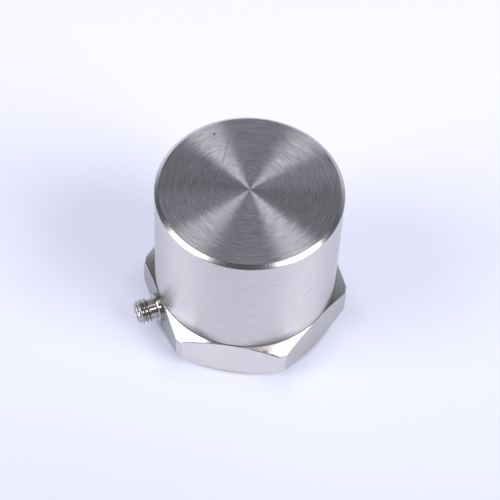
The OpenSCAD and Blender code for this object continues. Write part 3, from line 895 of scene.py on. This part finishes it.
def bare_ends(low):
    """Mask of the bare ends of a lead, below and above its jacket."""
    return lambda w, place: w.math("SUBTRACT", 1.0, between(w, w.split(place)["Z"], low, JACKET_TOP))


def facing_up_or_down(w, place):
    """Mask of the flat faces of a ring."""
    return beyond(w, w.split(w.add("ShaderNodeNewGeometry").outputs["Normal"])["Z"], 0.5)


def cut_edge(w, place):
    return w.math("SUBTRACT", 1.0, facing_up_or_down(w, place))


def board_pads(w, place):
    """Mask of the tinned pads: one under each cap and lead, and rings round the holes."""
    spoke = w.vector("MULTIPLY", place, (1, 1, 0))
    masks = [w.math("LESS_THAN", w.length(spoke), SCREW_PAD_R)]
    for direction in (SIGNAL_LEAD_AT, OUTPUT_LEAD_AT):
        hole = (LEAD_R * math.cos(direction), LEAD_R * math.sin(direction), 0)
        masks.append(w.math("LESS_THAN", w.length(w.vector("SUBTRACT", spoke, hole)), LEAD_PAD_R))
    # Direction and spacing of a part, where its pads start and end along it, and half their width
    end_pads = [
        (RESISTORS_AT, RESISTOR_SPACING, 0.5 * MM, 1.3 * MM, 0.75 * MM),
        (CAPACITORS_AT, CAPACITOR_SPACING, 0.5 * MM, 1.3 * MM, 0.75 * MM),
        (COUPLING_AT, math.tau, 1.3 * MM, 2.4 * MM, 0.9 * MM),
        (DIODE_AT, math.tau, 1.2 * MM, 2.3 * MM, 0.5 * MM),
    ]
    for direction, spacing, start, end, half_width in end_pads:
        part = part_place(w, place, direction, spacing)
        on_end = between(w, w.math("ABSOLUTE", part["Along"]), start, end)
        masks.append(w.math("MULTIPLY", on_end, between(w, part["Across"], -half_width, half_width)))
    chip = part_place(w, place, CHIP_AT)
    row_half = 2 * CHIP_LEAD_PITCH
    step = w.math("FRACT", w.math("DIVIDE", chip["Along"], CHIP_LEAD_PITCH))
    on_row = w.math("MULTIPLY", between(w, step, 0.25, 0.75), between(w, chip["Along"], -row_half, row_half))
    on_side = between(w, w.math("ABSOLUTE", chip["Across"]), 2.2 * MM, 3.2 * MM)
    masks.append(w.math("MULTIPLY", on_row, on_side))
    mask = masks[0]
    for more in masks[1:]:
        mask = w.math("MAXIMUM", mask, more)
    return w.math("MULTIPLY", mask, facing_up_or_down(w, place))


def board_tracks(w, place):
    """Mask of the copper rings that show through the solder mask."""
    reach = w.length(w.vector("MULTIPLY", place, (1, 1, 0)))
    inner = between(w, reach, 4.9 * MM, 5.4 * MM)
    outer = between(w, reach, 11.2 * MM, 12 * MM)
    return w.math("MULTIPLY", w.math("MAXIMUM", inner, outer), facing_up_or_down(w, place))


TIN = Finish((0.60, 0.61, 0.62, 1), (0.74, 0.75, 0.76, 1), 0.28, 1.0, 0.1 * MM)
SILVERING = Finish((0.70, 0.69, 0.66, 1), (0.82, 0.81, 0.78, 1), 0.38, 1.0, 0.15 * MM)
FLUOROPOLYMER = Finish((0.80, 0.80, 0.77, 1), (0.88, 0.88, 0.86, 1), 0.4, 0.0, 0.3 * MM)
SEALING_GLASS = Finish((0.02, 0.04, 0.03, 1), (0.04, 0.07, 0.06, 1), 0.1, 0.0, 0.5 * MM)
GOLD_PLATING = Finish((0.80, 0.56, 0.20, 1), (0.90, 0.68, 0.30, 1), 0.22, 1.0, 0.2 * MM)
POLYIMIDE = Finish((0.58, 0.30, 0.05, 1), (0.74, 0.44, 0.11, 1), 0.3, 0.0, 0.8 * MM)
PIEZO_CERAMIC = Finish((0.70, 0.62, 0.43, 1), (0.80, 0.72, 0.53, 1), 0.55, 0.0, 0.08 * MM)
ROLLED_COPPER = Finish((0.70, 0.40, 0.24, 1), (0.86, 0.56, 0.38, 1), 0.32, 1.0, 0.1 * MM)
FIBRE = Finish((0.34, 0.13, 0.07, 1), (0.50, 0.25, 0.14, 1), 0.65, 0.0, 0.25 * MM)
SOLDER_MASK = Finish((0.03, 0.21, 0.09, 1), (0.05, 0.27, 0.12, 1), 0.28, 0.0, 0.9 * MM)
MASKED_COPPER = Finish((0.07, 0.33, 0.15, 1), (0.09, 0.37, 0.17, 1), 0.28, 0.0, 0.9 * MM)
LAMINATE = Finish((0.50, 0.47, 0.26, 1), (0.66, 0.62, 0.40, 1), 0.6, 0.0, 0.12 * MM)
BLACK_EPOXY = Finish((0.018, 0.018, 0.019, 1), (0.035, 0.035, 0.036, 1), 0.5, 0.0, 0.12 * MM)
GREY_EPOXY = Finish((0.06, 0.06, 0.06, 1), (0.10, 0.10, 0.10, 1), 0.45, 0.0, 0.12 * MM)
YELLOW_EPOXY = Finish((0.78, 0.42, 0.05, 1), (0.88, 0.54, 0.10, 1), 0.35, 0.0, 0.3 * MM)
DARK_PRINT = Finish((0.10, 0.06, 0.03, 1), (0.16, 0.09, 0.05, 1), 0.4, 0.0, 0.2 * MM)
PALE_PRINT = Finish((0.62, 0.62, 0.60, 1), (0.74, 0.74, 0.72, 1), 0.5, 0.0, 0.2 * MM)
RESISTOR_GLAZE = Finish((0.03, 0.03, 0.04, 1), (0.06, 0.06, 0.07, 1), 0.2, 0.0, 0.3 * MM)
FIRED_CERAMIC = Finish((0.46, 0.33, 0.20, 1), (0.62, 0.48, 0.33, 1), 0.5, 0.0, 0.1 * MM)
RED_JACKET = Finish((0.48, 0.04, 0.04, 1), (0.60, 0.08, 0.06, 1), 0.3, 0.0, 0.5 * MM)
WHITE_JACKET = Finish((0.82, 0.82, 0.80, 1), (0.90, 0.90, 0.88, 1), 0.3, 0.0, 0.5 * MM)


def inner_materials():
    """The material of each CAD node that stays, by node."""
    resistor_caps = end_caps(RESISTORS_AT, RESISTOR_SPACING)
    capacitor_caps = end_caps(CAPACITORS_AT, CAPACITOR_SPACING)
    piezo = layered_finish("piezo_ring", [(PIEZO_CERAMIC, None), (SILVERING, facing_up_or_down)])
    board = [(SOLDER_MASK, None), (MASKED_COPPER, board_tracks), (TIN, board_pads), (LAMINATE, cut_edge)]
    coupling_layers = [
        (YELLOW_EPOXY, None),
        (DARK_PRINT, end_band(COUPLING_AT, 0.9 * MM, 1.4 * MM)),
        (TIN, end_leads(COUPLING_AT, COUPLING_ALONG)),
    ]
    diode_layers = [
        (GREY_EPOXY, None),
        (PALE_PRINT, end_band(DIODE_AT, 0.6 * MM, 0.95 * MM)),
        (TIN, end_leads(DIODE_AT, DIODE_ALONG)),
    ]
    signal_layers = [(RED_JACKET, None), (TIN, bare_ends(SIGNAL_JACKET_LOW))]
    output_layers = [(WHITE_JACKET, None), (TIN, bare_ends(OUTPUT_JACKET_LOW))]
    return {
        "connector_insulator": layered_finish("fluoropolymer", [(FLUOROPOLYMER, None)]),
        "glass_seal": layered_finish("sealing_glass", [(SEALING_GLASS, None)]),
        "connector_contact": layered_finish("gold_plating", [(GOLD_PLATING, None)], stretch=(0.2, 1, 1)),
        "post_sleeve": layered_finish("polyimide", [(POLYIMIDE, None)], stretch=(1, 1, 0.2)),
        "piezo_ring_lower": piezo,
        "centre_electrode": layered_finish("rolled_copper", [(ROLLED_COPPER, None)], stretch=(0.05, 1, 1)),
        "piezo_ring_upper": piezo,
        "seismic_mass": turned_steel("heavy_alloy", (0.28, 0.28, 0.30, 1), (0.42, 0.42, 0.44, 1),
                                     roughness=0.32, anisotropy=0.6, depth=1.0e-3 * MM),
        "disc_spring": turned_steel("blued_spring_steel", (0.14, 0.16, 0.24, 1), (0.34, 0.34, 0.40, 1),
                                    roughness=0.3, anisotropy=0.4, depth=0.5e-3 * MM),
        "preload_nut": turned_steel("nut_steel", (0.54, 0.54, 0.55, 1), (0.68, 0.68, 0.69, 1),
                                    roughness=0.3, anisotropy=0.5, depth=0.6e-3 * MM),
        "board_washer": layered_finish("vulcanised_fibre", [(FIBRE, None)], stretch=(0.3, 1, 1)),
        "circuit_board": layered_finish("board_laminate", board),
        "board_screw": turned_steel("zinc_plating", (0.64, 0.65, 0.67, 1), (0.76, 0.77, 0.79, 1),
                                    roughness=0.18, anisotropy=0.2, depth=0.4e-3 * MM),
        "amplifier_chip": layered_finish("chip_moulding", [(BLACK_EPOXY, None), (TIN, chip_leads)]),
        "chip_resistors": layered_finish("chip_resistor", [(RESISTOR_GLAZE, None), (TIN, resistor_caps)]),
        "chip_capacitors": layered_finish("chip_capacitor", [(FIRED_CERAMIC, None), (TIN, capacitor_caps)]),
        "coupling_capacitor": layered_finish("coupling_moulding", coupling_layers),
        "protection_diode": layered_finish("diode_moulding", diode_layers),
        "signal_lead": layered_finish("signal_wire", signal_layers),
        "output_lead": layered_finish("output_wire", output_layers),
    }


# Stage


def make_camera():
    """Camera at the photograph's place.

    Side and lift are how far its line of sight passes from the origin.
    """
    right = Vector(ASIDE)
    back = direction_to(0, math.degrees(CAMERA_ELEVATION))
    up = back.cross(right)
    sin_r, cos_r = math.sin(CAMERA_ROLL), math.cos(CAMERA_ROLL)
    axes = Matrix((right * cos_r + up * sin_r, up * cos_r - right * sin_r, back)).transposed()
    data = bpy.data.cameras.new("camera")
    data.sensor_width = CAMERA_SENSOR
    data.lens = CAMERA_LENS
    data.clip_start = 10 * MM
    camera = add_object("camera", data)
    place = right * CAMERA_SIDE + up * CAMERA_LIFT + back * CAMERA_DISTANCE
    camera.matrix_world = Matrix.Translation(place) @ axes.to_4x4()
    bpy.context.scene.camera = camera


def direction_to(azimuth, elevation):
    """A direction in degrees, its azimuth from the camera's own."""
    a = CAMERA_AZIMUTH + math.radians(azimuth)
    e = math.radians(elevation)
    return Vector((math.sin(a) * math.cos(e), -math.cos(a) * math.cos(e), math.sin(e)))


def add_softbox(name, azimuth, elevation, distance, width, height, power):
    """A rectangular light that faces the object."""
    back = direction_to(azimuth, elevation)
    data = bpy.data.lights.new(name, "AREA")
    data.shape = "RECTANGLE"
    data.size = width
    data.size_y = height
    data.energy = power
    data.color = SOFTBOX_COLOUR
    light = add_object(name, data)
    light.visible_camera = False
    facing = back.to_track_quat("Z", "Y").to_matrix().to_4x4()
    light.matrix_world = Matrix.Translation(back * distance) @ facing


def make_surround():
    """A dim room with a pale ceiling strip from front to back.

    Behind the part, the paper bends up in a pale band, and a small lamp stands on either side.
    """
    world = bpy.data.worlds.new("surround")
    world.use_nodes = True
    w = Wiring(world.node_tree)
    direction = w.add("ShaderNodeTexCoord").outputs["Generated"]
    away = w.dot(direction, AWAY)
    aside = w.math("ABSOLUTE", w.dot(direction, ASIDE))

    def lamp(azimuth, elevation, edge, core, strength):
        """A round light. Edge and core are cosines of the angle from its middle."""
        nearness = w.dot(direction, direction_to(azimuth, elevation))
        return w.ranged(nearness, edge, core, 0.0, strength)

    low = w.ranged(w.split(direction)["Z"], 0.09, 0.14, 1.4, 0.0)
    paper = w.math("MULTIPLY", low, w.ranged(away, 0.1, 0.5))
    overhead = w.ranged(aside, 0.0, 0.36, 0.49, 0.0)
    ceiling = w.math("MULTIPLY", overhead, w.ranged(away, -0.4, 0.3))
    glow = lamp(128, 14, 0.93, 0.985, 0.2)
    right_lamp = lamp(152, 25, 0.95, 0.99, 1.1)
    left_lamp = lamp(-152, 25, 0.95, 0.99, 0.5)
    sides = w.ranged(aside, 0.75, 0.95, 0.0, 0.1)
    front = w.ranged(away, -0.3, -0.8, 0.0, 0.11)
    surround = world.node_tree.nodes["Background"]
    surround.inputs["Color"].default_value = (0.92, 0.91, 1.0, 1)
    strength = 0.07
    for light in (paper, ceiling, glow, right_lamp, left_lamp, sides, front):
        strength = w.math("ADD", strength, light)
    w.feed(surround.inputs["Strength"], strength)
    bpy.context.scene.world = world


def floor_paper():
    """Pale paper that glows, less close to the base and more far behind it. The dimmer glow near the base and
    the black round its foot are a painted shadow, and the paper is painted darker towards the front.
    """
    material, w = new_material("floor_paper")
    place = object_place(w)
    away = w.dot(place, AWAY)
    aside = w.dot(place, ASIDE)
    cloud = w.math("MULTIPLY", noise(w, {"Vector": place, "Scale": 6.0, "Detail": 2.0}), 0.1)
    # Painted shade: darker towards the front, over a random cloud in the paper's tone
    tone = w.math("ADD", w.ranged(away, -60 * MM, 50 * MM), cloud)
    # Distance of a point from the base's axis, as the hexagon measures it
    beside = 0.0
    for azimuth in (0, 60, 120):
        across = (math.cos(math.radians(azimuth)), math.sin(math.radians(azimuth)), 0)
        beside = w.math("MAXIMUM", beside, w.math("ABSOLUTE", w.dot(place, across)))
    # Painted shade: the glow is dimmer close to the base
    near = w.ranged(beside, FLAT_R, FLAT_R + 5 * MM)
    glow = w.blend(near, (0.22, 0.23, 0.315, 1), (0.32, 0.33, 0.45, 1))
    # Painted contact shadow: no glow right round the foot
    contact = w.ranged(w.length(place), FOOT_R, FOOT_R + 1.0 * MM)
    glow = w.blend(contact, (0, 0, 0, 1), glow)
    far_glow = w.blend(w.ranged(aside, -40 * MM, 60 * MM), (0.85, 0.85, 0.95, 1), (0.3, 0.3, 0.36, 1))
    glow = w.blend(w.ranged(away, 90 * MM, 200 * MM), glow, far_glow)
    shader = w.add("ShaderNodeBsdfPrincipled", {
        "Base Color": w.blend(tone, (0.465, 0.485, 0.53, 1), (0.63, 0.64, 0.69, 1)),
        "Roughness": 0.8,
        "Specular IOR Level": 0.2,
        "Emission Color": glow,
        "Emission Strength": 1.0,
    })
    set_surface(w, shader)
    return material


def make_stage():
    """Pale floor, two softboxes in front and a dim surround."""
    half = FLOOR_HALF
    corners = [(-half, -half, 0), (half, -half, 0), (half, half, 0), (-half, half, 0)]
    floor_mesh = bpy.data.meshes.new("floor")
    floor_mesh.from_pydata(corners, [], [(0, 1, 2, 3)])
    facing = Matrix.Rotation(CAMERA_AZIMUTH, 4, "Z")
    floor_mesh.transform(Matrix.Translation((0, 0, -FLOOR_GAP)) @ facing)
    floor_mesh.materials.append(floor_paper())
    floor = add_object("floor", floor_mesh)
    add_softbox("softbox_right", azimuth=62, elevation=36, distance=1.5, width=0.88, height=1.2, power=21.8)
    add_softbox("softbox_left", azimuth=-68, elevation=33, distance=1.5, width=0.88, height=1.5, power=18)
    make_surround()
    bpy.context.scene.view_settings.view_transform = "Standard"


make_camera()
make_stage()
TURNED_FORM = turned_form_tree()
TURNING_MARKS = turning_marks_group()
LINE_MARK = line_mark_group()
WELD_TINT = weld_tint_group()
SURFACE_GRAIN = surface_grain_group()
PART_PLACE = part_place_group()
make_housing(wall_steel(), face_steel(), rim_steel())
make_base(base_steel(), milled_steel())
make_connector(connector_steel())

for node, material in inner_materials().items():
    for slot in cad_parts[node].material_slots:
        slot.material = material
